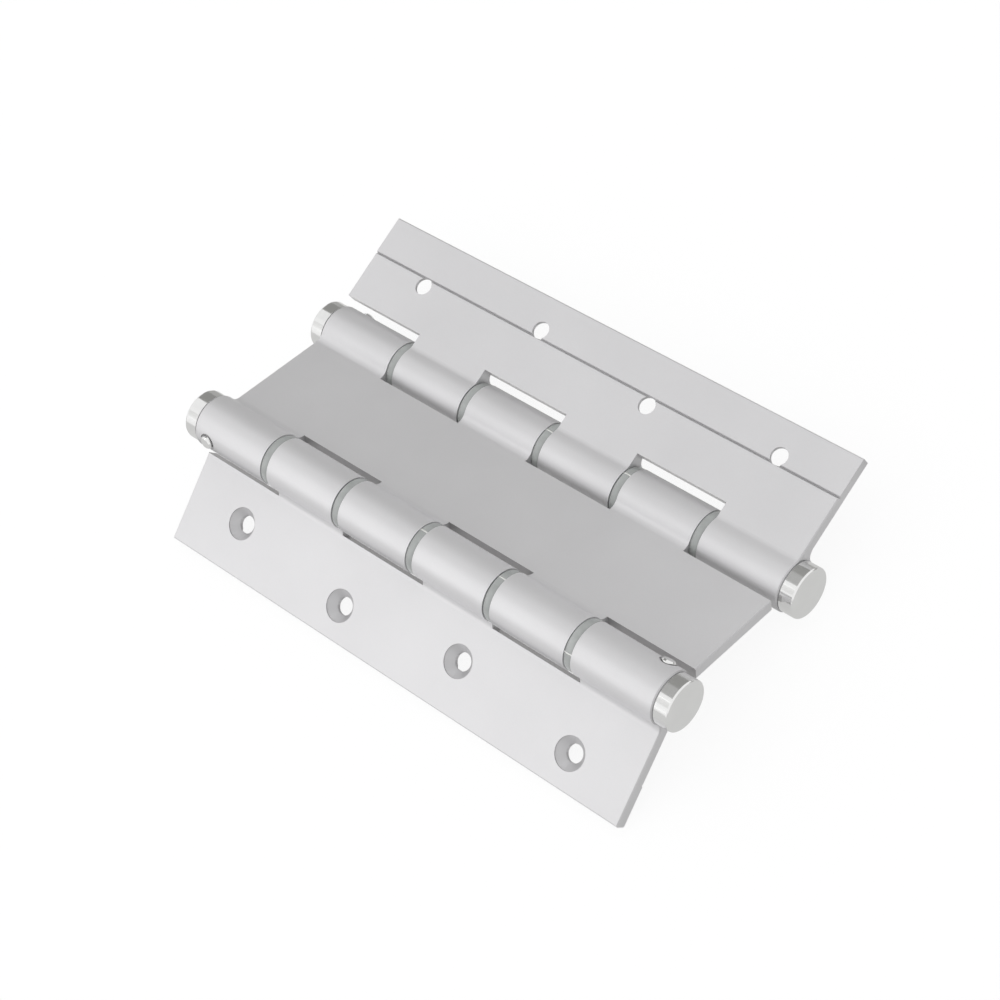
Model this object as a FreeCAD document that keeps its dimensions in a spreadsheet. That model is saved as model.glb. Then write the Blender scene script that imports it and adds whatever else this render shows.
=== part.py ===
# Double action spring hinge.
# A centre plate carries two barrels, and an outer leaf swings on each of them.
# Six knuckles make each barrel: the first, third and fifth belong to the centre
# plate, the second, fourth and sixth to the outer leaf.
# Lengths are in millimetres and angles in degrees.
#
# Frame of the finished part: X runs along the barrels, Z is up, and the origin
# lies on the ground under the middle of the hinge. The hinge stands half open as
# a low tent, on the free edge of the front leaf and on the back barrel.

import FreeCAD, Part
import math
import os
import Sketcher
from FreeCAD import Placement, Rotation, Vector

DOC = FreeCAD.newDocument("double_action_spring_hinge")


# Sizes

SIZES = [
    ("leaf_length", 180.0, "length of all three leaves along the barrels"),
    ("axis_spacing", 52.8, "distance between the two barrel axes"),
    ("barrel_radius", 8.3, "outer radius of the knuckles"),
    ("barrel_wall", 1.3, "wall of the knuckles"),
    ("bearing_gap", 2.8, "gap between two knuckles, filled by a bush flange"),
    ("plate_thickness", 3.8, "thickness of all three plates"),
    ("plate_rise", 2.4, "top of the centre plate above the barrel axes"),
    ("fold_clearance", 0.3, "gap between the plates when a leaf is shut"),
    ("slot_clearance", 2.0, "gap between a knuckle and the slot edge behind it"),
    ("blend_radius", 3.2, "fillet between the face of a plate and its knuckles"),
    ("underside_blend", 2.0, "fillet between the underside of the centre plate and its knuckles"),
    ("leaf_reach", 39.2, "barrel axis to the free edge of an outer leaf"),
    ("edge_break", 0.35, "chamfer on the long edges and ends of the plates"),
    ("screw_row", 23.8, "barrel axis to the nearer row of screw holes"),
    ("screw_stagger", 5.0, "distance between the two rows of screw holes"),
    ("screw_hole_radius", 2.75, "screw clearance hole"),
    ("screw_head_radius", 5.0, "mouth of the countersink"),
    ("screw_head_recess", 0.4, "straight part of the countersink"),
    ("groove_reach", 26.4, "barrel axis to the marking groove on the back face"),
    ("groove_width", 0.9, "mouth of the marking groove"),
    ("groove_depth", 0.8, "depth of the marking groove"),
    ("cap_radius", 7.9, "end caps outside the knuckles"),
    ("cap_length", 5.0, "length of an end cap"),
    ("cap_edge", 0.55, "rounded edge of an end cap"),
    ("neck_width", 0.3, "groove between an end cap and its knuckle"),
    ("neck_depth", 0.6, "depth of that groove below the cap"),
    ("shank_length", 13.0, "depth of a plug inside its knuckle"),
    ("pin_inset", 5.2, "end of the barrel to a lock pin"),
    ("pin_radius", 2.2, "lock pins"),
    ("pin_fit", 0.05, "clearance of a lock pin in the knuckle wall"),
    ("pin_root", 4.0, "barrel axis to the inner end of a lock pin"),
    ("anchor_pin_proud", 0.9, "head of an anchor pin above the knuckle"),
    ("tension_pin_proud", 0.55, "head of a tension pin above the knuckle"),
    ("pin_seat_width", 0.55, "recess in the knuckle round a lock pin"),
    ("pin_seat_depth", 0.7, "depth of that recess"),
    ("pin_edge", 0.5, "chamfer on the head of a lock pin"),
    ("back_pin_turn", 12.0, "back anchor pin above the line between the barrel axes"),
    ("flange_inset", 0.15, "bush flange below the surface of the knuckles"),
    ("flange_crown", 0.4, "drop of the rounded flange at its two sides"),
    ("flange_shoulder", 1.1, "width of the rounding at each side of a flange"),
    ("flange_clearance", 0.1, "end clearance at the running side of a flange"),
    ("sleeve_length", 6.5, "bush sleeve inside a knuckle"),
    ("sleeve_wall", 0.7, "wall of a bush sleeve"),
    ("running_clearance", 0.05, "bush sleeve in the knuckle that turns on it"),
    ("slit_width", 0.5, "parting slit across a bush flange"),
    ("slit_depth", 0.4, "depth of the parting slit"),
    ("wire_radius", 1.5, "spring wire"),
    ("coil_clearance", 0.3, "spring coils inside the bush sleeves"),
    ("coil_end_gap", 0.6, "spring coils to the plugs at their ends"),
    ("tang_depth", 4.0, "spring tang inside a plug"),
    ("tang_fit", 0.1, "clearance round a spring tang in its plug"),
    ("front_angle_down", 47.4, "front leaf below the plane of the centre plate"),
    ("back_angle_up", 30.0, "back leaf above the plane of the centre plate"),
]


class Dim:
    """A number together with the spreadsheet expression that it comes from."""

    def __init__(self, value, text):
        self.value = float(value)
        self.text = text

    def __add__(self, other):
        other = dim(other)
        return Dim(self.value + other.value, "(%s + %s)" % (self.text, other.text))

    def __radd__(self, other):
        return dim(other) + self

    def __sub__(self, other):
        other = dim(other)
        return Dim(self.value - other.value, "(%s - %s)" % (self.text, other.text))

    def __rsub__(self, other):
        return dim(other) - self

    def __mul__(self, other):
        other = dim(other)
        return Dim(self.value * other.value, "(%s * %s)" % (self.text, other.text))

    def __rmul__(self, other):
        return dim(other) * self

    def __truediv__(self, other):
        other = dim(other)
        return Dim(self.value / other.value, "(%s / %s)" % (self.text, other.text))

    def __neg__(self):
        return Dim(-self.value, "(0 - %s)" % self.text)


def dim(thing):
    if isinstance(thing, Dim):
        return thing
    return Dim(thing, repr(float(thing)))


def sine(angle):
    return Dim(math.sin(math.radians(angle.value)), "sin(%s)" % angle.text)


def cosine(angle):
    return Dim(math.cos(math.radians(angle.value)), "cos(%s)" % angle.text)


def arc_tangent(rise, run):
    value = math.degrees(math.atan2(rise.value, run.value))
    return Dim(value, "atan2(%s; %s)" % (rise.text, run.text))


def arc_sine(ratio):
    return Dim(math.degrees(math.asin(ratio.value)), "asin(%s)" % ratio.text)


def distance(first, second):
    value = math.hypot(first.value, second.value)
    return Dim(value, "hypot(%s; %s)" % (first.text, second.text))


sheet = DOC.addObject("Spreadsheet::Sheet", "Sizes")
values = {}
for row, (name, number, meaning) in enumerate(SIZES, start=1):
    sheet.set("A%d" % row, meaning)
    sheet.set("B%d" % row, str(number))
    sheet.setAlias("B%d" % row, name)
    values[name] = Dim(number, "Sizes." + name)
DOC.recompute()

leaf_length = values["leaf_length"]
axis_spacing = values["axis_spacing"]
barrel_radius = values["barrel_radius"]
bearing_gap = values["bearing_gap"]
plate_thickness = values["plate_thickness"]
plate_rise = values["plate_rise"]
blend_radius = values["blend_radius"]
leaf_reach = values["leaf_reach"]
edge_break = values["edge_break"]
screw_hole_radius = values["screw_hole_radius"]
screw_head_radius = values["screw_head_radius"]
cap_radius = values["cap_radius"]
cap_length = values["cap_length"]
shank_length = values["shank_length"]
pin_inset = values["pin_inset"]
pin_radius = values["pin_radius"]
pin_root = values["pin_root"]
sleeve_length = values["sleeve_length"]
wire_radius = values["wire_radius"]
tang_depth = values["tang_depth"]

# Six equal places along the barrel. A gap lies half on each side of a place's end.
knuckle_pitch = leaf_length / 6
half_gap = bearing_gap / 2
bore_radius = barrel_radius - values["barrel_wall"]
slot_reach = barrel_radius + values["slot_clearance"]
pin_seat = barrel_radius - values["pin_seat_depth"]

# The countersunk face of an outer leaf is set back from the axis, so that it lies
# flat on the centre plate when the leaf is shut.
leaf_face = plate_rise + values["fold_clearance"]
leaf_back = leaf_face + plate_thickness

# Bushes, springs and plugs share the bore.
sleeve_bore = bore_radius - values["sleeve_wall"]
coil_radius = sleeve_bore - values["coil_clearance"]
coil_middle = coil_radius - wire_radius
flange_radius = barrel_radius - values["flange_inset"]
coil_start = shank_length + values["coil_end_gap"]


# How the hinge stands

# The stance tilts the centre plate about X until the lower back corner of the
# front leaf and the underside of the back barrel touch the ground together.
stance = DOC.addObject("App::VarSet", "Stance")


def keep(name, wanted, meaning):
    stance.addProperty("App::PropertyFloat", name, "Stance", meaning)
    stance.setExpression(name, wanted.text)
    return Dim(wanted.value, "Stance." + name)


front_drop = values["front_angle_down"]
back_rise = values["back_angle_up"]
foot_reach = leaf_reach - edge_break
foot_y = keep(
    "foot_y",
    leaf_back * sine(front_drop) - foot_reach * cosine(front_drop),
    "front leaf's ground corner, across the barrels, before the tilt",
)
foot_z = keep(
    "foot_z",
    -(leaf_back * cosine(front_drop)) - foot_reach * sine(front_drop),
    "front leaf's ground corner, height before the tilt",
)
run = axis_spacing - foot_y
tilt = keep(
    "tilt",
    arc_tangent(-foot_z, run) - arc_sine(barrel_radius / distance(foot_z, run)),
    "tilt of the centre plate, down towards the back",
)
front_angle = keep("front_angle", 180 + front_drop - tilt, "direction of the front leaf")
back_angle = keep("back_angle", back_rise - tilt, "direction of the back leaf")
axis_drop = axis_spacing * sine(tilt)
axis_run = axis_spacing * cosine(tilt)
tip_face = leaf_face + edge_break
front_edge = leaf_reach * cosine(front_angle) - tip_face * sine(front_angle)
back_edge = leaf_reach * cosine(back_angle) - tip_face * sine(back_angle)
front_axis_y = keep(
    "front_axis_y",
    -(front_edge + axis_run + back_edge) / 2,
    "front barrel axis across the part",
)
front_axis_z = keep("front_axis_z", barrel_radius + axis_drop, "front barrel axis height")
back_axis_y = keep("back_axis_y", front_axis_y + axis_run, "back barrel axis across the part")
back_axis_z = keep("back_axis_z", dim(1) * barrel_radius, "back barrel axis height")
barrel_start = keep("barrel_start", -leaf_length / 2, "left end of the leaves")
DOC.recompute()


def place(obj, along, across, height, angle):
    """Put an object on a barrel axis, turned about X by an angle."""
    turn = Rotation(Vector(1, 0, 0), angle.value)
    obj.Placement = Placement(Vector(along.value, across.value, height.value), turn)
    obj.setExpression("Placement.Base.x", along.text)
    obj.setExpression("Placement.Base.y", across.text)
    obj.setExpression("Placement.Base.z", height.text)
    obj.setExpression("Placement.Rotation.Angle", angle.text)


# Sketches and features

def origin_part(body, role):
    for feature in body.Origin.OriginFeatures:
        if feature.Role == role:
            return feature
    raise ValueError("no " + role)


def sketch(body, name, role, right=None, up=None, lift=None, turn=None):
    """A sketch on one of the body's own planes, moved in the plane and off it.

    It may also be turned about its own first axis."""
    made = body.newObject("Sketcher::SketchObject", name)
    made.AttachmentSupport = (origin_part(body, role), "")
    made.MapMode = "FlatFace"
    shift = Vector(0, 0, 0)
    for letter, amount in (("x", right), ("y", up), ("z", lift)):
        if amount is not None:
            setattr(shift, letter, amount.value)
    swing = Rotation() if turn is None else Rotation(Vector(1, 0, 0), turn.value)
    made.AttachmentOffset = Placement(shift, swing)
    for letter, amount in (("x", right), ("y", up), ("z", lift)):
        if amount is not None:
            made.setExpression("AttachmentOffset.Base." + letter, amount.text)
    if turn is not None:
        made.setExpression("AttachmentOffset.Rotation.Angle", turn.text)
    return made


def hold(made, geometry, point, x, y):
    """Tie one point of a sketch to the sketch's origin with two driven distances."""
    for kind, amount, axis in (("DistanceX", x, -2), ("DistanceY", y, -1)):
        amount = dim(amount)
        if abs(amount.value) < 1e-9:
            made.addConstraint(Sketcher.Constraint("PointOnObject", geometry, point, axis))
            continue
        if amount.value > 0:
            wanted = amount
            rule = Sketcher.Constraint(kind, -1, 1, geometry, point, wanted.value)
        else:
            wanted = -amount
            rule = Sketcher.Constraint(kind, geometry, point, -1, 1, wanted.value)
        index = made.addConstraint(rule)
        made.setExpression("Constraints[%d]" % index, wanted.text)


def outline(made, corners):
    """A closed outline of straight lines through driven corners."""
    corners = [(dim(x), dim(y)) for x, y in corners]
    spots = [Vector(x.value, y.value, 0) for x, y in corners]
    first = made.GeometryCount
    count = len(spots)
    for index in range(count):
        made.addGeometry(Part.LineSegment(spots[index], spots[(index + 1) % count]), False)
    for index in range(count):
        after = first + (index + 1) % count
        made.addConstraint(Sketcher.Constraint("Coincident", first + index, 2, after, 1))
    for index, (x, y) in enumerate(corners):
        hold(made, first + index, 1, x, y)


def circle(made, x, y, radius):
    x, y = dim(x), dim(y)
    ring = Part.Circle(Vector(x.value, y.value, 0), Vector(0, 0, 1), radius.value)
    geometry = made.addGeometry(ring, False)
    if abs(x.value) < 1e-9 and abs(y.value) < 1e-9:
        made.addConstraint(Sketcher.Constraint("Coincident", geometry, 3, -1, 1))
    else:
        hold(made, geometry, 3, x, y)
    index = made.addConstraint(Sketcher.Constraint("Radius", geometry, radius.value))
    made.setExpression("Constraints[%d]" % index, radius.text)


def pad(body, name, profile, length, reverse=False):
    made = body.newObject("PartDesign::Pad", name)
    made.Profile = profile
    made.Length = length.value
    made.setExpression("Length", length.text)
    made.Reversed = reverse
    return made


def cut_away(body, name, profile, length=None, reverse=False, both=False):
    """A pocket: to a driven depth, or through everything when no depth is given."""
    DOC.recompute()
    before = body.Shape.Volume
    made = body.newObject("PartDesign::Pocket", name)
    made.Profile = profile
    if length is None:
        made.Type = "ThroughAll"
    else:
        made.Length = length.value
        made.setExpression("Length", length.text)
    made.Reversed = reverse
    if both:
        made.SideType = "Symmetric"
    DOC.recompute()
    if not body.Shape.Volume < before - 1e-6:
        raise ValueError(name + " cuts nothing")
    return made


def repeat(body, name, feature, axis, length, count):
    made = body.newObject("PartDesign::LinearPattern", name)
    made.Originals = [feature]
    made.Direction = (origin_part(body, axis), [""])
    made.Length = length.value
    made.setExpression("Length", length.text)
    made.Occurrences = count
    body.Tip = made
    DOC.recompute()
    return made


def turned(body, name, profile, axis, cutting=False):
    kind = "PartDesign::Groove" if cutting else "PartDesign::Revolution"
    before = body.Shape.Volume if cutting else 0.0
    made = body.newObject(kind, name)
    made.Profile = profile
    made.ReferenceAxis = (profile, [axis])
    made.Angle = 360.0
    DOC.recompute()
    if cutting and not body.Shape.Volume < before - 1e-6:
        raise ValueError(name + " cuts nothing")
    return made


def edges_at(shape, spots, reach=0.02):
    """Names of the edges of a shape that pass through the given points."""
    names = []
    for spot in spots:
        vertex = Part.Vertex(spot)
        for index, edge in enumerate(shape.Edges, start=1):
            if edge.distToShape(vertex)[0] < reach and "Edge%d" % index not in names:
                names.append("Edge%d" % index)
    return names


def blend(body, name, spots, radius):
    DOC.recompute()
    base = body.Tip
    names = edges_at(base.Shape, spots)
    if len(names) != len(spots):
        raise ValueError("%s found %d edges for %d corners" % (name, len(names), len(spots)))
    made = body.newObject("PartDesign::Fillet", name)
    made.Base = (base, names)
    made.Radius = radius.value
    made.setExpression("Radius", radius.text)
    DOC.recompute()
    return made


OVER = dim(2.0)


# The leaves

def plate_section(made, start, end, low, high, first_free, last_free):
    """Section of a plate across the barrels, with broken corners at its free edges."""
    corners = []
    if first_free:
        corners += [(start + edge_break, low), (start, low + edge_break)]
        corners += [(start, high - edge_break), (start + edge_break, high)]
    else:
        corners += [(start, low), (start, high)]
    if last_free:
        corners += [(end - edge_break, high), (end, high - edge_break)]
        corners += [(end, low + edge_break), (end - edge_break, low)]
    else:
        corners += [(end, high), (end, low)]
    outline(made, corners)


def joint_line(height):
    """Distance from a barrel axis at which a plate face meets the knuckle."""
    value = math.sqrt(barrel_radius.value ** 2 - height.value ** 2)
    return value


def middle(y, z):
    return Vector(leaf_length.value / 2, y, z)


def break_ends(body, name, low, high, start, end):
    """Break the end edges of a plate, clear of the knuckles."""
    DOC.recompute()
    spots = []
    for x in (0.0, leaf_length.value):
        for z in (low.value, high.value):
            spots.append(Vector(x, (start + end) / 2, z))
    names = edges_at(body.Tip.Shape, spots)
    base = body.Tip
    made = body.newObject("PartDesign::Chamfer", name)
    made.Base = (base, names)
    made.Size = edge_break.value
    made.setExpression("Size", edge_break.text)
    DOC.recompute()
    return made


def outer_leaf(label):
    """An outer leaf about its own barrel axis, plate towards +Y, countersunk face below."""
    body = DOC.addObject("PartDesign::Body", label)
    body.Label = label

    section = sketch(body, label + "_barrel_section", "YZ_Plane")
    circle(section, 0, 0, barrel_radius)
    pad(body, label + "_barrel", section, leaf_length)

    section = sketch(body, label + "_plate_section", "YZ_Plane")
    plate_section(section, dim(0), leaf_reach, leaf_face, leaf_back, False, True)
    pad(body, label + "_plate", section, leaf_length)
    spots = [
        middle(joint_line(leaf_face), leaf_face.value),
        middle(joint_line(leaf_back), leaf_back.value),
    ]
    blend(body, label + "_blends", spots, blend_radius)

    section = sketch(body, label + "_bore_section", "YZ_Plane")
    circle(section, 0, 0, bore_radius)
    cut_away(body, label + "_bore", section, None, True)

    # The three slots that the centre plate's knuckles turn in.
    section = sketch(body, label + "_slot_outline", "XY_Plane")
    outline(section, [
        (-half_gap, -(barrel_radius + OVER)),
        (knuckle_pitch + half_gap, -(barrel_radius + OVER)),
        (knuckle_pitch + half_gap, slot_reach),
        (-half_gap, slot_reach),
    ])
    slot = cut_away(body, label + "_slot", section, None, False, True)
    repeat(body, label + "_slots", slot, "X_Axis", 4 * knuckle_pitch, 3)

    # Four countersunk screw holes in two staggered rows.
    deep = screw_head_radius - screw_hole_radius
    rows = [
        ("near", values["screw_row"], leaf_length / 8),
        ("far", values["screw_row"] + values["screw_stagger"], 3 * leaf_length / 8),
    ]
    for name, across, along in rows:
        section = sketch(body, label + "_" + name + "_hole_section", "YZ_Plane", across, None, along)
        top = leaf_face + values["screw_head_recess"]
        outline(section, [
            (0, leaf_face - OVER),
            (screw_head_radius, leaf_face - OVER),
            (screw_head_radius, top),
            (screw_hole_radius, top + deep),
            (screw_hole_radius, leaf_back + OVER),
            (0, leaf_back + OVER),
        ])
        hole = turned(body, label + "_" + name + "_hole", section, "V_Axis", True)
        repeat(body, label + "_" + name + "_holes", hole, "X_Axis", leaf_length / 2, 2)

    # A shallow vee groove along the back face, between the two rows.
    half = values["groove_width"] / 2
    section = sketch(body, label + "_groove_section", "YZ_Plane", values["groove_reach"])
    outline(section, [
        (-half, leaf_back),
        (0, leaf_back - values["groove_depth"]),
        (half, leaf_back),
        (half, leaf_back + OVER),
        (-half, leaf_back + OVER),
    ])
    cut_away(body, label + "_groove", section, None, True)

    # The hole for the lock pin, in the last knuckle, on the side away from the plate.
    section = sketch(body, label + "_pin_hole_outline", "XZ_Plane")
    circle(section, leaf_length - pin_inset, 0, pin_radius + values["pin_fit"])
    cut_away(body, label + "_pin_hole", section, barrel_radius + OVER, True)
    section = sketch(body, label + "_pin_seat_outline", "XZ_Plane", None, None, pin_seat)
    circle(section, leaf_length - pin_inset, 0, pin_radius + values["pin_seat_width"])
    cut_away(body, label + "_pin_seat", section, values["pin_seat_depth"] + OVER, True)

    break_ends(body, label + "_end_breaks", leaf_face, leaf_back, slot_reach.value, leaf_reach.value)
    return body


def centre_plate(label):
    """The centre plate about the front barrel axis, with the back barrel at +Y."""
    body = DOC.addObject("PartDesign::Body", label)
    body.Label = label
    low = plate_rise - plate_thickness

    section = sketch(body, label + "_barrel_sections", "YZ_Plane")
    circle(section, 0, 0, barrel_radius)
    circle(section, axis_spacing, 0, barrel_radius)
    pad(body, label + "_barrels", section, leaf_length)

    section = sketch(body, label + "_plate_section", "YZ_Plane")
    plate_section(section, dim(0), axis_spacing, low, plate_rise, False, False)
    pad(body, label + "_plate", section, leaf_length)
    for name, height, radius in (
        ("top", plate_rise, blend_radius),
        ("underside", low, values["underside_blend"]),
    ):
        near = joint_line(height)
        spots = [
            middle(near, height.value),
            middle(axis_spacing.value - near, height.value),
        ]
        blend(body, label + "_" + name + "_blends", spots, radius)

    section = sketch(body, label + "_bore_sections", "YZ_Plane")
    circle(section, 0, 0, bore_radius)
    circle(section, axis_spacing, 0, bore_radius)
    cut_away(body, label + "_bores", section, None, True)

    # Three slots along each barrel for the knuckles of the outer leaves.
    section = sketch(body, label + "_slot_outlines", "XY_Plane")
    start = knuckle_pitch - half_gap
    end = 2 * knuckle_pitch + half_gap
    sides = [
        (-(barrel_radius + OVER), slot_reach),
        (axis_spacing - slot_reach, axis_spacing + barrel_radius + OVER),
    ]
    for near, far in sides:
        outline(section, [(start, near), (end, near), (end, far), (start, far)])
    slots = cut_away(body, label + "_slot_pair", section, None, False, True)
    repeat(body, label + "_slots", slots, "X_Axis", 4 * knuckle_pitch, 3)

    # Holes for the lock pins, in the first knuckles, on the sides away from the plate.
    section = sketch(body, label + "_front_pin_hole_outline", "XZ_Plane")
    circle(section, pin_inset, 0, pin_radius + values["pin_fit"])
    cut_away(body, label + "_front_pin_hole", section, barrel_radius + OVER, True)
    section = sketch(body, label + "_front_pin_seat_outline", "XZ_Plane", None, None, pin_seat)
    circle(section, pin_inset, 0, pin_radius + values["pin_seat_width"])
    cut_away(body, label + "_front_pin_seat", section, values["pin_seat_depth"] + OVER, True)
    # The back one is turned about the barrel axis, off the plane through both axes.
    turn = values["back_pin_turn"]
    section = sketch(body, label + "_back_pin_hole_outline", "XZ_Plane",
                     None, None, -axis_spacing, turn)
    circle(section, pin_inset, 0, pin_radius + values["pin_fit"])
    cut_away(body, label + "_back_pin_hole", section, barrel_radius + OVER, False)
    section = sketch(body, label + "_back_pin_seat_outline", "XZ_Plane",
                     None, pin_seat * sine(turn), -(axis_spacing + pin_seat * cosine(turn)), turn)
    circle(section, pin_inset, 0, pin_radius + values["pin_seat_width"])
    cut_away(body, label + "_back_pin_seat", section, values["pin_seat_depth"] + OVER, False)

    break_ends(body, label + "_end_breaks", low, plate_rise, slot_reach.value,
               axis_spacing.value - slot_reach.value)
    return body


# The pieces in the barrels

def bush(label, side):
    """A flanged bush about the barrel axis. The knuckle on the named side turns on it."""
    body = DOC.addObject("PartDesign::Body", label)
    body.Label = label
    turning = bore_radius - values["running_clearance"]
    sleeve_end = half_gap + sleeve_length
    flange_end = half_gap - values["flange_clearance"]
    # Each outer edge of the flange is rounded off in three steps, along a quarter ellipse.
    crown, shoulder = values["flange_crown"], values["flange_shoulder"]
    steps = [
        (shoulder * (1 - math.cos(turn)), crown * (1 - math.sin(turn)))
        for turn in (0, math.pi / 6, math.pi / 3, math.pi / 2)
    ]
    fixed = [(-side * (half_gap - inward), flange_radius - drop) for inward, drop in steps]
    running = [(side * (flange_end - inward), flange_radius - drop) for inward, drop in steps]
    profile = sketch(body, label + "_profile", "XY_Plane")
    outline(profile, [
        (-side * sleeve_end, sleeve_bore),
        (-side * sleeve_end, bore_radius),
        (-side * half_gap, bore_radius),
    ] + fixed + running[::-1] + [
        (side * flange_end, turning),
        (side * sleeve_end, turning),
        (side * sleeve_end, sleeve_bore),
    ])
    turned(body, label + "_turning", profile, "H_Axis")
    half = values["slit_width"] / 2
    bottom = flange_radius - values["slit_depth"]
    cutter = sketch(body, label + "_slit_outline", "XY_Plane", None, None, bottom)
    outline(cutter, [
        (-bearing_gap, -half), (bearing_gap, -half), (bearing_gap, half), (-bearing_gap, half),
    ])
    cut_away(body, label + "_slit", cutter, values["slit_depth"] + OVER, True)
    return body


def plug(label, side, tension):
    """A plug about the barrel axis. Its shank runs to the named side, its cap lies on the other."""
    body = DOC.addObject("PartDesign::Body", label)
    body.Label = label
    edge = values["cap_edge"]
    neck = cap_radius - values["neck_depth"]
    profile = sketch(body, label + "_profile", "XY_Plane")
    # The cap's edge is a quarter circle in three steps.
    rim = [
        (-side * (cap_length - edge * (1 - math.cos(turn))), cap_radius - edge * (1 - math.sin(turn)))
        for turn in (0, math.pi / 6, math.pi / 3, math.pi / 2)
    ]
    outline(profile, [(-side * cap_length, 0)] + rim + [
        (-side * values["neck_width"], cap_radius),
        (-side * values["neck_width"], neck),
        (0, neck),
        (0, bore_radius),
        (side * (shank_length - edge), bore_radius),
        (side * shank_length, bore_radius - edge),
        (side * shank_length, 0),
    ])
    turned(body, label + "_turning", profile, "H_Axis")

    tang = sketch(body, label + "_tang_hole_outline", "YZ_Plane", None, None, side * shank_length)
    circle(tang, 0, coil_middle, wire_radius + values["tang_fit"])
    cut_away(body, label + "_tang_hole", tang, tang_depth + values["tang_fit"], side < 0)

    hole = sketch(body, label + "_pin_hole_outline", "XZ_Plane", None, None, pin_root)
    circle(hole, side * pin_inset, 0, pin_radius)
    made = cut_away(body, label + "_pin_hole", hole, barrel_radius, True)
    if tension:
        # Four pin holes round the shank, so that the spring can be wound up in quarters.
        ring = body.newObject("PartDesign::PolarPattern", label + "_pin_holes")
        ring.Originals = [made]
        ring.Axis = (origin_part(body, "X_Axis"), [""])
        ring.Angle = 360.0
        ring.Occurrences = 4
        body.Tip = ring
        DOC.recompute()
    return body


def lock_pin(label, tip):
    """A lock pin along -Y, from its seat in the plug to its head in the knuckle's hole."""
    body = DOC.addObject("PartDesign::Body", label)
    body.Label = label
    edge = values["pin_edge"]
    profile = sketch(body, label + "_profile", "XY_Plane")
    outline(profile, [
        (0, -pin_root),
        (pin_radius, -pin_root),
        (pin_radius, -(tip - edge)),
        (pin_radius - edge, -tip),
        (0, -tip),
    ])
    turned(body, label + "_turning", profile, "V_Axis")
    return body


def spring(label, left_turn, right_turn):
    """Envelope of a torsion spring: a tube of coils with a straight tang at each end.

    Each tang stands where the tang hole of its plug is turned to."""
    body = DOC.addObject("PartDesign::Body", label)
    body.Label = label
    inside = coil_radius - 2 * wire_radius
    section = sketch(body, label + "_coil_section", "YZ_Plane", None, None, coil_start)
    circle(section, 0, 0, coil_radius)
    circle(section, 0, 0, inside)
    pad(body, label + "_coils", section, leaf_length - 2 * coil_start)
    reach = values["coil_end_gap"] + tang_depth
    section = sketch(body, label + "_left_tang_section", "YZ_Plane", None, None, coil_start)
    circle(section, -(coil_middle * sine(left_turn)), coil_middle * cosine(left_turn), wire_radius)
    pad(body, label + "_left_tang", section, reach, True)
    section = sketch(body, label + "_right_tang_section", "YZ_Plane", None, None, leaf_length - coil_start)
    circle(section, -(coil_middle * sine(right_turn)), coil_middle * cosine(right_turn), wire_radius)
    pad(body, label + "_right_tang", section, reach)
    return body


# Assembly

parts = []

centre = centre_plate("centre_leaf")
place(centre, barrel_start, front_axis_y, front_axis_z, -tilt)
parts.append(centre)

front = outer_leaf("front_leaf")
place(front, barrel_start, front_axis_y, front_axis_z, front_angle)
parts.append(front)

back = outer_leaf("back_leaf")
place(back, barrel_start, back_axis_y, back_axis_z, back_angle)
parts.append(back)

# Direction of each bush's slit, from the line towards the back barrel.
SLITS = {
    "front": [250.0, 200.0, 96.5, 96.0, 158.0],
    "back": [280.0, 300.0, 96.5, 96.5, 250.0],
}
barrels = [
    ("front", front_axis_y, front_axis_z, 180 + front_drop, dim(0)),
    ("back", back_axis_y, back_axis_z, 1 * back_rise, 180 + values["back_pin_turn"]),
]
for name, across, height, leaf_turn, anchor_turn in barrels:
    for index, slit in enumerate(SLITS[name], start=1):
        # Every other knuckle is the centre plate's, which holds the bush on that side.
        side = 1 if index % 2 == 1 else -1
        made = bush("%s_bush_%d" % (name, index), side)
        place(made, barrel_start + index * knuckle_pitch, across, height, slit - 90 - tilt)
        parts.append(made)

    coil = spring(name + "_spring", anchor_turn, leaf_turn)
    place(coil, barrel_start, across, height, -tilt)
    parts.append(coil)

    # The anchor plug and its pin belong to the centre plate.
    anchor = plug(name + "_anchor_plug", 1, False)
    place(anchor, barrel_start, across, height, anchor_turn - tilt)
    parts.append(anchor)
    pin = lock_pin(name + "_anchor_pin", barrel_radius + values["anchor_pin_proud"])
    place(pin, barrel_start + pin_inset, across, height, anchor_turn - tilt)
    parts.append(pin)

    # The tension plug and its pin belong to the outer leaf.
    winder = plug(name + "_tension_plug", -1, True)
    place(winder, barrel_start + leaf_length, across, height, leaf_turn - tilt)
    parts.append(winder)
    pin = lock_pin(name + "_tension_pin", barrel_radius + values["tension_pin_proud"])
    place(pin, barrel_start + leaf_length - pin_inset, across, height, leaf_turn - tilt)
    parts.append(pin)

DOC.recompute()

for obj in DOC.Objects:
    if "Invalid" in obj.State or "Error" in obj.State:
        raise ValueError("%s failed: %s" % (obj.Label, obj.State))

os.makedirs("parts", exist_ok=True)
for part in parts:
    shape = part.Shape
    if shape.isNull() or not shape.isValid() or len(shape.Solids) != 1:
        raise ValueError("%s is not one sound solid" % part.Label)
    shape.exportStep("parts/%s.step" % part.Label)
    box = shape.BoundBox
    print("%-22s volume %10.1f  x %7.2f %7.2f  y %7.2f %7.2f  z %7.2f %7.2f" % (
        part.Label, shape.Volume, box.XMin, box.XMax, box.YMin, box.YMax, box.ZMin, box.ZMax))
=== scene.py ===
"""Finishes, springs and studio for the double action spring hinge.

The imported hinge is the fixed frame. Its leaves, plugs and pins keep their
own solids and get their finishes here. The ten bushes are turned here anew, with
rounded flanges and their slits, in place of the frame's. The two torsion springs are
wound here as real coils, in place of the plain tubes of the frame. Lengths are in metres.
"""

import math

import bpy
import numpy as np
from mathutils import Matrix, Vector


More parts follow.
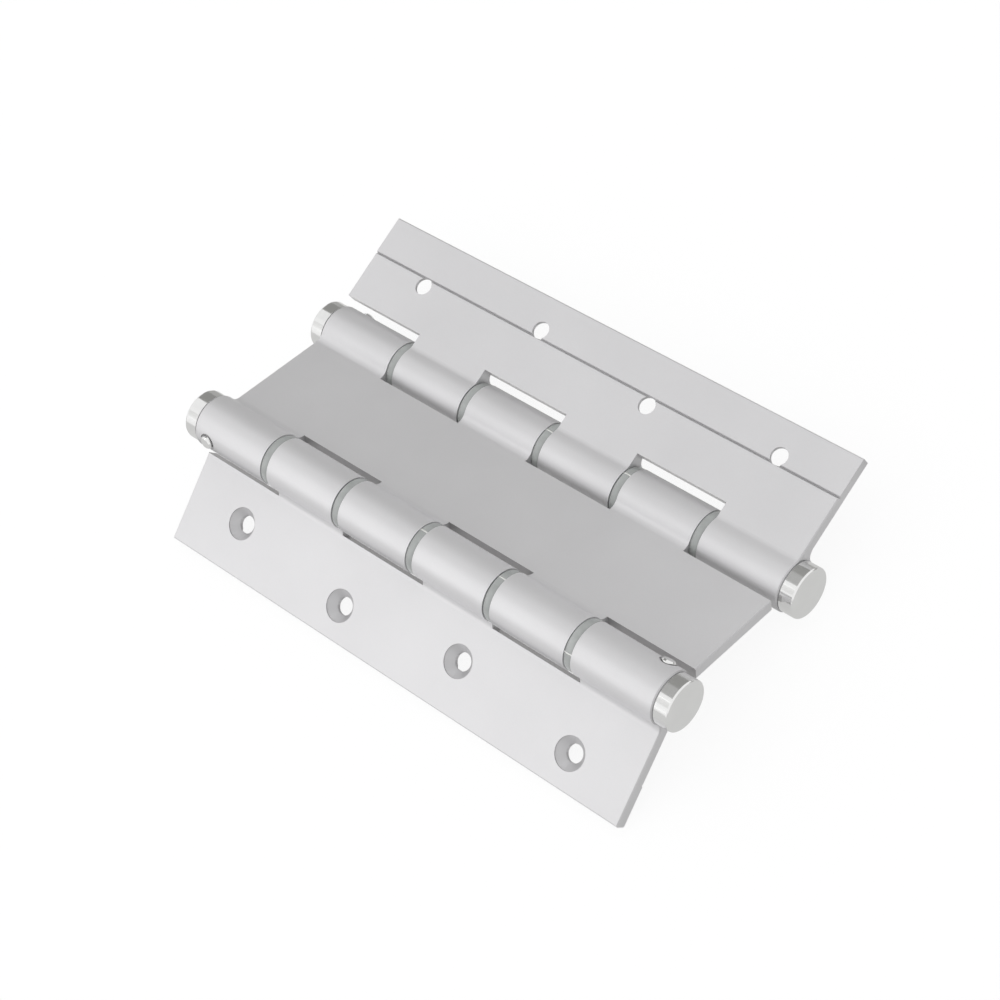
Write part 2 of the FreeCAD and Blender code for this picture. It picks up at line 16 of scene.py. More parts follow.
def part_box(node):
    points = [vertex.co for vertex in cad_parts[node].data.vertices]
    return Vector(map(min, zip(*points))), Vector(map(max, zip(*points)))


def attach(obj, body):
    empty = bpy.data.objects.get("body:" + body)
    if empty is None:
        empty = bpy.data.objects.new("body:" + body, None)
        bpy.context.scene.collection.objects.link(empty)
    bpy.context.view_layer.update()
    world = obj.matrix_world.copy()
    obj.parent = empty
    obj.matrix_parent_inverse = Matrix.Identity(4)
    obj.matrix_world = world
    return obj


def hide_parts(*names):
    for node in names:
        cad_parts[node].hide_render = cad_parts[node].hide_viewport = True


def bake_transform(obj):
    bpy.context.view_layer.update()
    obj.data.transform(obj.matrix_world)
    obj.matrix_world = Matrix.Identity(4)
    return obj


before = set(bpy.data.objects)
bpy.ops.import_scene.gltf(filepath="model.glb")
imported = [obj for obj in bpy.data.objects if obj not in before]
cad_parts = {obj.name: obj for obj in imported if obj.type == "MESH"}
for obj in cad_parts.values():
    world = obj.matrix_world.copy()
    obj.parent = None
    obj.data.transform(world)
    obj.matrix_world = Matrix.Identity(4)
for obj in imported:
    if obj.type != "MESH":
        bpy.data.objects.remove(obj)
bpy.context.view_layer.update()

bl_info = {
    "name": "Double Action Spring Hinge",
    "version": (1, 0, 0),
    "blender": (4, 5, 0),
    "location": "3D View > Sidebar > Hinge",
    "description": "Finishes, torsion springs and studio for a double action spring hinge",
    "category": "Object",
}

LEAVES = ("centre_leaf", "front_leaf", "back_leaf")
# Painted shade on the flanks of each leaf's knuckles: barrel, rear power and amount, front power
# and amount.
FLANK_SHADES = {
    "centre_leaf": (("front", 1.0, 0.0, 40.0, 0.34), ("back", 5.0, 0.5, 3.0, 0.2)),
    "front_leaf": (),
    "back_leaf": (("back", 1.0, 0.0, 3.0, 0.16),),
}
FLANK_INPUTS = ("Rear Power", "Rear Amount", "Front Power", "Front Amount")
SIDES = ("front", "back")
BUSHES = tuple("%s_bush_%d" % (side, k) for side in SIDES for k in range(1, 6))
PLUGS = tuple("%s_%s_plug" % (side, kind) for side in SIDES for kind in ("anchor", "tension"))
PINS = tuple("%s_%s_pin" % (side, kind) for side in SIDES for kind in ("anchor", "tension"))

# Meshes: lengths in metres, angles in degrees
WIRE_STEP = 0.00028  # wire between two rings of its mesh
WIRE_SIDES = 12
CROPPED_END = 0.82  # a wire's last ring, as a share of its radius
LEAN_ROUNDS = 60  # repeats that settle the coil's lean
ROUNDING_POINTS = 9  # along the quarter ellipse of a flange's edge
RING_POINTS = 104  # round a bush, outside its slit
SLIT_WALL = 0.00003  # a slit's side wall in the mesh, measured round the bush
SLIT_TOLERANCE = 0.00004  # from the slit's floor to a vertex that belongs to it
TIP_TOLERANCE = 0.00001  # from a spring's end to a vertex that belongs to it
SHARP_ANGLE = 38.0
CARD_POINTS = 13  # along a bent card

# Finishes
PLATING_GRAIN = 3.0, 0.62  # detail and roughness of the noise
PLATING_CLOUD = 5.0, 0.5
LATHE_MARKS = 2.0, 0.7
LATHE_HAZE = 3.0, 0.5
EDGE_BREAKS = 2.0, 0.5
WIRE_LINES = 4.0, 0.5
FLECK_AMOUNT = 0.06
HAZE_SCALE, HAZE_AMOUNT = 260.0, 0.08
EDGE_RADIUS, EDGE_GAIN = 0.00012, 3.0
SAWN_FACING = 0.85  # least cosine between a sawn wall's direction and that to the axis
NYLON_GRAIN_SCALE, NYLON_CLOUD_SCALE, NYLON_CLOUD_AMOUNT = 1500.0, 300.0, 0.6
SILVER_SPREAD = 0.03  # roughness to either side of its middle
NICKEL_SPREAD = 0.03, 0.05  # roughness below and above its middle
NYLON_ROUGHNESS = 0.18, 0.28
WIRE_STRETCH = 60.0, 9.0, 1.0  # along the wire, round it, and unused
WIRE_LINE_SCALE, WIRE_LINE_AMOUNT = 4.0, 0.4
WIRE_ROUGHNESS = 0.24, 0.42
SILVER_BUMP = 0.12, 0.00002  # strength and distance
NICKEL_BUMP = 0.1, 0.00001
NYLON_BUMP = 0.25, 0.00003
WIRE_BUMP = 0.15, 0.00002

# Stage. The bent cards: left and right end, foot and top angle, property of the tone.
BENT_CARDS = {
    "grey_card": (-3.2, -0.93, 0.5, 60.0, "card"),
    "pale_card": (-1.85, -0.95, 60.0, 106.0, "pale_card"),
    "light_card": (-2.4, -0.95, 124.0, 148.0, "light_card"),
}
# Painted shadow of the hinge on the floor, as cards behind the hinge and to its left that only
# reflections see: left, right, near, rear.
FLOOR_SHADOW_CARDS = {
    "rear_card": (-3.2, 0.3, 0.068, 2.5),
    "left_card": (-3.2, -0.112, 0.012, 0.068),
}
CARD_LIFT = 0.0004
# The key is a tall strip between the directions that the left and right caps mirror.
# The lamps: place, width, height, property of the power.
LAMPS = {
    "key_lamp": ((-0.75, -0.98, 0.65), 0.34, 1.2, "key_power"),
    "fill_lamp": ((-0.2, 0.05, 1.3), 1.0, 1.0, "fill_power"),
}
FLOOR_TONE = 0.96
SENSOR_WIDTH = 36.0


def barrel_axis(side):
    """Height and depth of a barrel axis: the middle of the spring's box across the barrel."""
    low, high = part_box(side + "_spring")
    return Vector((0.0, (low[1] + high[1]) / 2, (low[2] + high[2]) / 2))


# Node helpers

FLOAT = "NodeSocketFloat"
VECTOR = "NodeSocketVector"


def add_node(tree, kind, **settings):
    node = tree.nodes.new(kind)
    for name, value in settings.items():
        setattr(node, name, value)
    return node


def join(tree, source, output, target, entry):
    tree.links.new(source.outputs[output], target.inputs[entry])


def sum_of(tree, operation, first, second=None, clamp=False):
    """One Math node. Each side is a number or a (node, output) pair."""
    node = add_node(tree, "ShaderNodeMath", operation=operation, use_clamp=clamp)
    for entry, side in enumerate((first, second)):
        if side is None:
            continue
        if isinstance(side, tuple):
            join(tree, side[0], side[1], node, entry)
        else:
            node.inputs[entry].default_value = side
    return node


def noise(tree, place, kind):
    """A noise texture at a (node, output) place. The kind is its detail and roughness."""
    node = add_node(tree, "ShaderNodeTexNoise")
    node.inputs["Detail"].default_value, node.inputs["Roughness"].default_value = kind
    join(tree, place[0], place[1], node, "Vector")
    return node


def swing(tree, source, amount):
    """A noise's distance from its middle, times an amount."""
    centred = sum_of(tree, "SUBTRACT", source, 0.5)
    return sum_of(tree, "MULTIPLY", (centred, 0), amount)


def dimmed(tree, mask, amount):
    """1 less a mask times an amount."""
    loss = sum_of(tree, "MULTIPLY", mask, amount)
    return sum_of(tree, "SUBTRACT", 1.0, (loss, 0))


def from_axis(tree, come):
    """The inputs Vector and Axis as a vector across the barrel, and its length."""
    away = add_node(tree, "ShaderNodeVectorMath", operation="SUBTRACT")
    join(tree, come, "Vector", away, 0)
    join(tree, come, "Axis", away, 1)
    flat = add_node(tree, "ShaderNodeVectorMath", operation="MULTIPLY")
    join(tree, away, "Vector", flat, 0)
    flat.inputs[1].default_value = (0.0, 1.0, 1.0)
    reach = add_node(tree, "ShaderNodeVectorMath", operation="LENGTH")
    join(tree, flat, "Vector", reach, 0)
    return flat, reach


def new_group(name, entries, exits):
    """An empty node group with named sockets: (name, kind, default) in, (name, kind) out."""
    group = bpy.data.node_groups.new(name, "ShaderNodeTree")
    for label, kind, default in entries:
        socket = group.interface.new_socket(name=label, in_out="INPUT", socket_type=kind)
        if default is not None:
            socket.default_value = default
    for label, kind in exits:
        group.interface.new_socket(name=label, in_out="OUTPUT", socket_type=kind)
    return group, group.nodes.new("NodeGroupInput"), group.nodes.new("NodeGroupOutput")


def satin_group():
    """Blasted and plated metal: fine grain, and broad clouds where the plating varies."""
    group, come, go = new_group(
        "Satin Plating",
        [
            ("Vector", VECTOR, None),
            ("Grain Scale", FLOAT, 2600.0),
            ("Cloud Scale", FLOAT, 38.0),
            ("Cloud Amount", FLOAT, 0.1),
        ],
        [("Grain", FLOAT), ("Shade", FLOAT)],
    )
    grain = noise(group, (come, "Vector"), PLATING_GRAIN)
    join(group, come, "Grain Scale", grain, "Scale")
    cloud = noise(group, (come, "Vector"), PLATING_CLOUD)
    join(group, come, "Cloud Scale", cloud, "Scale")
    spread = swing(group, (cloud, "Fac"), (come, "Cloud Amount"))
    fleck = swing(group, (grain, "Fac"), FLECK_AMOUNT)
    both = sum_of(group, "ADD", (spread, 0), (fleck, 0))
    shade = sum_of(group, "ADD", (both, 0), 1.0)
    join(group, grain, "Fac", go, "Grain")
    join(group, shade, 0, go, "Shade")
    return group


def edge_group():
    """Rubbed edges: where a small rounding would turn the surface, the mask rises."""
    group, come, go = new_group(
        "Rubbed Edges",
        [("Vector", VECTOR, None), ("Break Scale", FLOAT, 900.0)],
        [("Edge", FLOAT), ("Rounded", VECTOR)],
    )
    bevel = add_node(group, "ShaderNodeBevel", samples=6)
    bevel.inputs["Radius"].default_value = EDGE_RADIUS
    surface = add_node(group, "ShaderNodeNewGeometry")
    match = add_node(group, "ShaderNodeVectorMath", operation="DOT_PRODUCT")
    join(group, bevel, "Normal", match, 0)
    join(group, surface, "Normal", match, 1)
    turn = sum_of(group, "SUBTRACT", 1.0, (match, "Value"))
    strong = sum_of(group, "MULTIPLY", (turn, 0), EDGE_GAIN, clamp=True)
    breaks = noise(group, (come, "Vector"), EDGE_BREAKS)
    join(group, come, "Break Scale", breaks, "Scale")
    worn = sum_of(group, "MULTIPLY", (strong, 0), (breaks, "Fac"), clamp=True)
    join(group, worn, 0, go, "Edge")
    join(group, bevel, "Normal", go, "Rounded")
    return group


def recess_shade_group():
    """Painted shade in recesses: a shade below 1 where a piece closes in on itself, as in
    grooves, countersinks and the corners behind the knuckles."""
    group, come, go = new_group(
        "Dull Recesses",
        [("Reach", FLOAT, 0.002), ("Amount", FLOAT, 0.22)],
        [("Shade", FLOAT)],
    )
    closed = add_node(group, "ShaderNodeAmbientOcclusion", samples=6, only_local=True)
    join(group, come, "Reach", closed, "Distance")
    hidden = sum_of(group, "SUBTRACT", 1.0, (closed, "AO"))
    shade = dimmed(group, (hidden, 0), (come, "Amount"))
    join(group, shade, 0, go, "Shade")
    return group


def hole_shade_group():
    """Drilled holes and countersinks, with painted shade on their walls: a shade below 1.

    The leaves are straight along the barrels, so only a hole's wall looks partly that way.
    The shade falls with the X part of the surface's direction, and the flat ends get none."""
    group, come, go = new_group(
        "Drilled Walls",
        [
            ("Normal", VECTOR, None), ("Least", FLOAT, 0.05),
            ("Most", FLOAT, 0.6), ("End", FLOAT, 0.95),
            ("Amount", FLOAT, 0.2),
        ],
        [("Shade", FLOAT)],
    )
    parts = add_node(group, "ShaderNodeSeparateXYZ")
    join(group, come, "Normal", parts, "Vector")
    along = sum_of(group, "ABSOLUTE", (parts, "X"))
    eased = add_node(group, "ShaderNodeMapRange", interpolation_type="SMOOTHSTEP")
    join(group, along, 0, eased, "Value")
    join(group, come, "Least", eased, "From Min")
    join(group, come, "Most", eased, "From Max")
    wall = sum_of(group, "LESS_THAN", (along, 0), (come, "End"))
    dull = sum_of(group, "MULTIPLY", (eased, "Result"), (wall, 0))
    shade = dimmed(group, (dull, 0), (come, "Amount"))
    join(group, shade, 0, go, "Shade")
    return group


def sawn_group():
    """Sawn walls that face a barrel across its slot: the mask is 1 there and 0 elsewhere.

    It compares the surface's direction with the direction to the barrel's axis, and the
    distance from the axis with the slot's."""
    group, come, go = new_group(
        "Sawn Walls",
        [
            ("Vector", VECTOR, None), ("Normal", VECTOR, None),
            ("Axis", VECTOR, None),
            ("Nearest", FLOAT, 0.0095), ("Farthest", FLOAT, 0.0125),
        ],
        [("Mask", FLOAT)],
    )
    flat, reach = from_axis(group, come)
    match = add_node(group, "ShaderNodeVectorMath", operation="DOT_PRODUCT")
    join(group, flat, "Vector", match, 0)
    join(group, come, "Normal", match, 1)
    facing = sum_of(group, "DIVIDE", (match, "Value"), (reach, "Value"))
    turned = sum_of(group, "LESS_THAN", (facing, 0), -SAWN_FACING)
    outside = sum_of(group, "GREATER_THAN", (reach, "Value"), (come, "Nearest"))
    inside = sum_of(group, "LESS_THAN", (reach, "Value"), (come, "Farthest"))
    near = sum_of(group, "MULTIPLY", (outside, 0), (inside, 0))
    mask = sum_of(group, "MULTIPLY", (near, 0), (turned, 0))
    join(group, mask, 0, go, "Mask")
    return group


def flank_shade_group():
    """Painted shade on the flanks of the knuckles over a slot: a shade below 1.

    Only the surface within the barrel's radius of its axis is meant. The shade falls with
    a power of the Y part of the surface's direction, of its own to the rear and the front."""
    group, come, go = new_group(
        "Slot Flanks",
        [
            ("Vector", VECTOR, None), ("Normal", VECTOR, None),
            ("Axis", VECTOR, None), ("Radius", FLOAT, 0.0086),
        ] + [(label, FLOAT, 0.0) for label in FLANK_INPUTS],
        [("Shade", FLOAT)],
    )
    reach = from_axis(group, come)[1]
    near = sum_of(group, "LESS_THAN", (reach, "Value"), (come, "Radius"))
    parts = add_node(group, "ShaderNodeSeparateXYZ")
    join(group, come, "Normal", parts, "Vector")
    losses = []
    for sign, label in ((1.0, "Rear"), (-1.0, "Front")):
        turned = sum_of(group, "MULTIPLY", (parts, "Y"), sign)
        faced = sum_of(group, "MAXIMUM", (turned, 0), 0.0)
        steep = sum_of(group, "POWER", (faced, 0), (come, label + " Power"))
        losses.append(sum_of(group, "MULTIPLY", (steep, 0), (come, label + " Amount")))
    both = sum_of(group, "ADD", (losses[0], 0), (losses[1], 0))
    shade = dimmed(group, (both, 0), (near, 0))
    join(group, shade, 0, go, "Shade")
    return group


def lathe_group():
    """Turned metal about a barrel: streaks that depend on place along it and radius only."""
    group, come, go = new_group(
        "Lathe Marks",
        [("Vector", VECTOR, None), ("Mark Scale", FLOAT, 5200.0)],
        [("Marks", FLOAT), ("Shade", FLOAT)],
    )
    parts = add_node(group, "ShaderNodeSeparateXYZ")
    join(group, come, "Vector", parts, "Vector")
    square_y = sum_of(group, "MULTIPLY", (parts, "Y"), (parts, "Y"))
    square_z = sum_of(group, "MULTIPLY", (parts, "Z"), (parts, "Z"))
    both = sum_of(group, "ADD", (square_y, 0), (square_z, 0))
    radius = sum_of(group, "SQRT", (both, 0))
    place = add_node(group, "ShaderNodeCombineXYZ")
    join(group, parts, "X", place, "X")
    join(group, radius, 0, place, "Y")
    marks = noise(group, (place, "Vector"), LATHE_MARKS)
    join(group, come, "Mark Scale", marks, "Scale")
    haze = noise(group, (come, "Vector"), LATHE_HAZE)
    haze.inputs["Scale"].default_value = HAZE_SCALE
    small = swing(group, (haze, "Fac"), HAZE_AMOUNT)
    shade = sum_of(group, "ADD", (small, 0), 1.0)
    join(group, marks, "Fac", go, "Marks")
    join(group, shade, 0, go, "Shade")
    return group


def group_node(tree, make, name):
    """Places a shared group in a material, and builds the group on its first use."""
    held = bpy.data.node_groups.get(name) or make()
    return add_node(tree, "ShaderNodeGroup", node_tree=held)


def new_material(name):
    """A material with its shader and object coordinates: (material, tree, shader, coordinates)."""
    made = bpy.data.materials.new(name)
    made.use_nodes = True
    tree = made.node_tree
    return made, tree, tree.nodes["Principled BSDF"], add_node(tree, "ShaderNodeTexCoord")


def tinted(tree, colour, shade):
    """Colour times the shade at a (node, output) pair, as a Mix node."""
    mix = add_node(tree, "ShaderNodeMix", data_type="RGBA", blend_type="MULTIPLY")
    mix.inputs["Factor"].default_value = 1.0
    mix.inputs["A"].default_value = (*colour, 1.0)
    grey = add_node(tree, "ShaderNodeCombineColor")
    for channel in ("Red", "Green", "Blue"):
        join(tree, shade[0], shade[1], grey, channel)
    join(tree, grey, "Color", mix, "B")
    return mix


def painted(tree, base, mask, colour):
    """A colour over a Mix node's, where the mask at a (node, output) pair is 1."""
    mix = add_node(tree, "ShaderNodeMix", data_type="RGBA")
    join(tree, mask[0], mask[1], mix, "Factor")
    join(tree, base, "Result", mix, "A")
    mix.inputs["B"].default_value = (*colour, 1.0)
    return mix


def rough_from(tree, source, output, low, high, shader):
    """Roughness between two values, led by a mask that runs from 0 to 1."""
    spread = add_node(tree, "ShaderNodeMapRange")
    spread.inputs["To Min"].default_value = low
    spread.inputs["To Max"].default_value = high
    join(tree, source, output, spread, "Value")
    join(tree, spread, "Result", shader, "Roughness")


def bumped(tree, height, size, rounded, shader):
    """Bump from a (node, output) height. The size is its strength and distance."""
    bump = add_node(tree, "ShaderNodeBump")
    bump.inputs["Strength"].default_value, bump.inputs["Distance"].default_value = size
    join(tree, height[0], height[1], bump, "Height")
    if rounded is not None:
        join(tree, rounded[0], rounded[1], bump, "Normal")
    join(tree, bump, "Normal", shader, "Normal")


def satin_silver(name, looks, flanks):
    """Satin silver plating of a leaf, darkened by painted shade in its recesses, on its hole
    walls and on its knuckle flanks, with painted shade and painted light on its slot walls.
    The flanks are rows of a barrel's side, the power and amount of the painted shade to its
    rear, and the power and amount of the painted shade to its front."""
    made, tree, shader, place = new_material(name)
    plating = group_node(tree, satin_group, "Satin Plating")
    plating.inputs["Grain Scale"].default_value = 1.0 / looks.grain_size
    edges = group_node(tree, edge_group, "Rubbed Edges")
    join(tree, place, "Object", plating, "Vector")
    join(tree, place, "Object", edges, "Vector")
    recess_shade = group_node(tree, recess_shade_group, "Dull Recesses")
    hole_shade = group_node(tree, hole_shade_group, "Drilled Walls")
    join(tree, place, "Normal", hole_shade, "Normal")
    # Painted shade: the recesses, the hole walls and the knuckle flanks darken the plating.
    shade = sum_of(tree, "MULTIPLY", (plating, "Shade"), (recess_shade, "Shade"))
    shade = sum_of(tree, "MULTIPLY", (shade, 0), (hole_shade, "Shade"))
    for side, *settings in flanks:
        flank_shade = group_node(tree, flank_shade_group, "Slot Flanks")
        join(tree, place, "Object", flank_shade, "Vector")
        join(tree, place, "Normal", flank_shade, "Normal")
        flank_shade.inputs["Axis"].default_value = barrel_axis(side)
        for label, value in zip(FLANK_INPUTS, settings):
            flank_shade.inputs[label].default_value = value
        shade = sum_of(tree, "MULTIPLY", (shade, 0), (flank_shade, "Shade"))
    base = tinted(tree, looks.silver, (shade, 0))
    base = painted(tree, base, (edges, "Edge"), looks.bare_edge)
    # Painted shade on the slot walls behind the front barrel, and painted light on those behind
    # the back barrel.
    for side, tone in zip(SIDES, (looks.sawn, looks.slot_wall_light)):
        sawn = group_node(tree, sawn_group, "Sawn Walls")
        join(tree, place, "Object", sawn, "Vector")
        join(tree, place, "Normal", sawn, "Normal")
        sawn.inputs["Axis"].default_value = barrel_axis(side)
        base = painted(tree, base, (sawn, "Mask"), tone)
    join(tree, base, "Result", shader, "Base Color")
    rough = looks.silver_roughness
    rough_from(tree, plating, "Grain", rough - SILVER_SPREAD, rough + SILVER_SPREAD, shader)
    bumped(tree, (plating, "Grain"), SILVER_BUMP, (edges, "Rounded"), shader)
    shader.inputs["Metallic"].default_value = looks.silver_metal
    return made


def bright_nickel(name, looks, centre):
    """Turned and bright plated metal about a barrel axis."""
    made, tree, shader, place = new_material(name)
    mapping = add_node(tree, "ShaderNodeMapping")
    mapping.inputs["Location"].default_value = -centre
    join(tree, place, "Object", mapping, "Vector")
    lathe = group_node(tree, lathe_group, "Lathe Marks")
    join(tree, mapping, "Vector", lathe, "Vector")
    edges = group_node(tree, edge_group, "Rubbed Edges")
    join(tree, place, "Object", edges, "Vector")
    base = tinted(tree, looks.nickel, (lathe, "Shade"))
    base = painted(tree, base, (edges, "Edge"), looks.bare_edge)
    join(tree, base, "Result", shader, "Base Color")
    rough, (less, more) = looks.nickel_roughness, NICKEL_SPREAD
    rough_from(tree, lathe, "Marks", rough - less, rough + more, shader)
    bumped(tree, (lathe, "Marks"), NICKEL_BUMP, (edges, "Rounded"), shader)
    shader.inputs["Metallic"].default_value = 1.0
    return made


def grey_nylon(name, looks):
    """Moulded grey nylon of the bushes."""
    made, tree, shader, place = new_material(name)
    grain = group_node(tree, satin_group, "Satin Plating")
    grain.inputs["Grain Scale"].default_value = NYLON_GRAIN_SCALE
    grain.inputs["Cloud Scale"].default_value = NYLON_CLOUD_SCALE
    grain.inputs["Cloud Amount"].default_value = NYLON_CLOUD_AMOUNT
    join(tree, place, "Object", grain, "Vector")
    base = tinted(tree, looks.nylon, (grain, "Shade"))
    slit = add_node(tree, "ShaderNodeAttribute", attribute_name="Slit")
    # Painted highlight: the slit's floor takes a near-white colour.
    base = painted(tree, base, (slit, "Fac"), looks.slit_highlight)
    join(tree, base, "Result", shader, "Base Color")
    rough_from(tree, grain, "Grain", *NYLON_ROUGHNESS, shader)
    bumped(tree, (grain, "Grain"), NYLON_BUMP, None, shader)
    return made


def spring_steel(name, looks):
    """Drawn and oiled spring wire. Its fine lines run along the wire, in its UV map."""
    made, tree, shader, place = new_material(name)
    stretch = add_node(tree, "ShaderNodeMapping")
    stretch.inputs["Scale"].default_value = WIRE_STRETCH
    join(tree, place, "UV", stretch, "Vector")
    lines = noise(tree, (stretch, "Vector"), WIRE_LINES)
    lines.inputs["Scale"].default_value = WIRE_LINE_SCALE
    small = swing(tree, (lines, "Fac"), WIRE_LINE_AMOUNT)
    shade = sum_of(tree, "ADD", (small, 0), 1.0)
    join(tree, tinted(tree, looks.wire, (shade, 0)), "Result", shader, "Base Color")
    rough_from(tree, lines, "Fac", *WIRE_ROUGHNESS, shader)
    bumped(tree, (lines, "Fac"), WIRE_BUMP, None, shader)
    shader.inputs["Metallic"].default_value = 1.0
    return made


def dress(node, material):
    """Give every slot of a frame node one material. Its mesh isn't touched."""
    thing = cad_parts[node]
    if not thing.material_slots:
        raise RuntimeError("%s has no material slot" % node)
    for slot in thing.material_slots:
        slot.material = material


# New shapes

def wire_line(start, end, radius, tang, arc, first_turn, last_turn, wire_pitch):
    """Centre line of a torsion spring about the X axis, as place along X, turn and lean.

    The wire leans from the X direction. The lean is 0 along a tang, rises over one bend
    as 3u^2 - 2u^3, stays at the coil's own lean and falls again over the last bend. Place
    along X is the running sum of cos(lean), and turn the running sum of sin(lean) / radius."""
    ramp = np.linspace(0.0, 1.0, max(8, int(arc / WIRE_STEP)))
    ease = ramp * ramp * (3 - 2 * ramp)
    lean = math.pi / 2
    length = 0.0
    for _ in range(LEAN_ROUNDS):
        # The bends and the coil share the space left between the tangs.
        bend_x = arc * np.mean(np.cos(lean * ease))
        bend_turn = arc * np.mean(np.sin(lean * ease)) / radius
        space = end - start - 2 * tang - 2 * bend_x
        wanted = round(space / wire_pitch - (last_turn - first_turn) / (2 * math.pi))
        turns = 2 * math.pi * wanted + (last_turn - first_turn) - 2 * bend_turn
        lean = math.atan2(turns * radius, space)
        length = math.hypot(turns * radius, space)
    count = int(length / WIRE_STEP)
    tang_count = max(2, int(tang / WIRE_STEP))
    straight = np.zeros(tang_count)
    leans = np.concatenate([
        straight, lean * ease, np.full(count, lean), lean * ease[::-1], straight])
    tang_steps = np.full(tang_count, tang / tang_count)
    bend_steps = np.full(len(ease), arc / len(ease))
    steps = np.concatenate([
        tang_steps, bend_steps, np.full(count, length / count), bend_steps, tang_steps])
    along = start + np.concatenate([[0.0], np.cumsum(steps * np.cos(leans))])
    turn = first_turn + np.concatenate([[0.0], np.cumsum(steps * np.sin(leans))]) / radius
    middle = np.concatenate([[0.0], (leans[1:] + leans[:-1]) / 2, [0.0]])
    return along, turn, middle


def wire_surface(name, along, turn, lean, coil_radius, wire_radius, centre):
    """A round wire about its centre line, closed at both ends.

    Point (s, a) = C(s) + w (cos a) R(s) + w (sin a) B(s), where C is the centre line at
    the coil's radius, R points away from the coil's axis and B is square to R and to the
    wire. The last ring at each end draws in a little, as a cropped end does."""
    sides = WIRE_SIDES
    angle = np.linspace(0.0, 2 * math.pi, sides, endpoint=False)
    radial = np.stack([np.zeros_like(turn), -np.sin(turn), np.cos(turn)], axis=1)
    around = np.stack([np.zeros_like(turn), -np.cos(turn), -np.sin(turn)], axis=1)
    axis = np.array([1.0, 0.0, 0.0])
    tangent = np.cos(lean)[:, None] * axis + np.sin(lean)[:, None] * around
    side = np.cross(tangent, radial)
    line = np.stack([along, np.zeros_like(turn), np.zeros_like(turn)], axis=1)
    line = line + coil_radius * radial + np.array(centre)
    width = np.full(len(turn), wire_radius)
    width[[0, -1]] *= CROPPED_END
    rings = (
        line[:, None, :]
        + width[:, None, None] * np.cos(angle)[None, :, None] * radial[:, None, :]
        + width[:, None, None] * np.sin(angle)[None, :, None] * side[:, None, :]
    )
    count = len(turn)
    points = np.concatenate([rings.reshape(-1, 3), line[:1], line[-1:]])
    low = np.arange(count - 1)[:, None] * sides
    first = np.arange(sides)[None, :]
    after = (first + 1) % sides
    quads = np.stack([
        low + first, low + after, low + sides + after, low + sides + first], axis=2)
    ring = np.arange(sides)
    ahead = (ring + 1) % sides
    start_cap = np.stack([np.full(sides, count * sides), ahead, ring], axis=1)
    last = (count - 1) * sides
    end_cap = np.stack([np.full(sides, count * sides + 1), last + ring, last + ahead], axis=1)
    faces = quads.reshape(-1, 4).tolist() + start_cap.tolist() + end_cap.tolist()
    mesh = bpy.data.meshes.new(name)
    mesh.from_pydata(points.tolist(), [], faces)
    grid_u = np.repeat(np.arange(count) / count, sides)
    grid_v = np.tile(np.arange(sides) / sides, count)
    grid_u = np.concatenate([grid_u, [0.0, 1.0]])
    grid_v = np.concatenate([grid_v, [0.5, 0.5]])
    corner = np.empty(len(mesh.loops), dtype=np.int32)
    mesh.loops.foreach_get("vertex_index", corner)
    layer = mesh.uv_layers.new(name="Wire")
    layer.data.foreach_set("uv", np.stack([grid_u[corner], grid_v[corner]], axis=1).ravel())
    mesh.polygons.foreach_set("use_smooth", np.ones(len(mesh.polygons), dtype=bool))
    mesh.update()
    mesh.validate()
    return mesh


def grid_mesh(name, rings):
    """A mesh from an array of shape (profile points, points around, 3), closed both ways."""
    rows, columns = rings.shape[:2]
    row = np.arange(rows)[:, None]
    column = np.arange(columns)[None, :]
    next_row = (row + 1) % rows
    next_column = (column + 1) % columns
    quads = np.stack([
        row * columns + column, row * columns + next_column,
        next_row * columns + next_column, next_row * columns + column], axis=2)
    mesh = bpy.data.meshes.new(name)
    mesh.from_pydata(rings.reshape(-1, 3).tolist(), [], quads.reshape(-1, 4).tolist())
    mesh.polygons.foreach_set("use_smooth", np.ones(len(mesh.polygons), dtype=bool))
    return mesh


def bush_surface(name, centre, end, radius, side, notch_turn, sizes):
    """A flanged bush about the X axis, closed, with a parting slit across its flange.

    Point (s, a) = centre + (x(s), r cos a, r sin a), with (x, r) running round the
    profile and r = min(r(s), slit floor) where a lies in the slit. The flange's edges are
    quarter ellipses: x = edge - w (1 - cos t), r = R - c (1 - sin t), t from 0 to 90 degrees."""
    gap = end - sizes.sleeve_length
    run = gap - sizes.flange_clearance
    turn = np.linspace(0.0, math.pi / 2, ROUNDING_POINTS)
    inward = sizes.flange_shoulder * (1 - np.cos(turn))
    drop = sizes.flange_crown * (1 - np.sin(turn))
    fixed = np.stack([-(gap - inward), radius - drop], axis=1)
    running = np.stack([run - inward, radius - drop], axis=1)[::-1]
    profile = np.concatenate([
        [(end, sizes.sleeve_bore), (-end, sizes.sleeve_bore), (-end, sizes.bore),
         (-gap, sizes.bore)],
        fixed, running,
        [(run, sizes.running_radius), (end, sizes.running_radius)],
    ])
    if side < 0:
        profile = profile[::-1] * np.array([-1.0, 1.0])
    half = sizes.slit_width / 2 / radius
    edge = SLIT_WALL / radius
    cuts = np.array([-half - edge, -half, half, half + edge])
    free = np.linspace(half + 3 * edge, 2 * math.pi - half - 3 * edge, RING_POINTS)
    angle = np.concatenate([cuts, free])
    inside = np.zeros(len(angle))
    inside[1:3] = 1.0
    floor = radius - sizes.slit_depth
    r = np.where(
        (inside[None, :] > 0.5) & (profile[:, 1:] > floor), floor, profile[:, 1:])
    angle = angle + notch_turn
    rings = np.stack([
        np.broadcast_to(profile[:, :1], r.shape), r * np.cos(angle), r * np.sin(angle)], axis=2)
    mesh = grid_mesh(name, rings + np.array(centre))
    cut = (inside[None, :] > 0.5) & (profile[:, 1:] >= floor)
    layer = mesh.attributes.new("Slit", "FLOAT", "POINT")
    layer.data.foreach_set("value", cut.astype(np.float32).ravel())
    mesh.set_sharp_from_angle(angle=math.radians(SHARP_ANGLE))
    mesh.update()
    return mesh


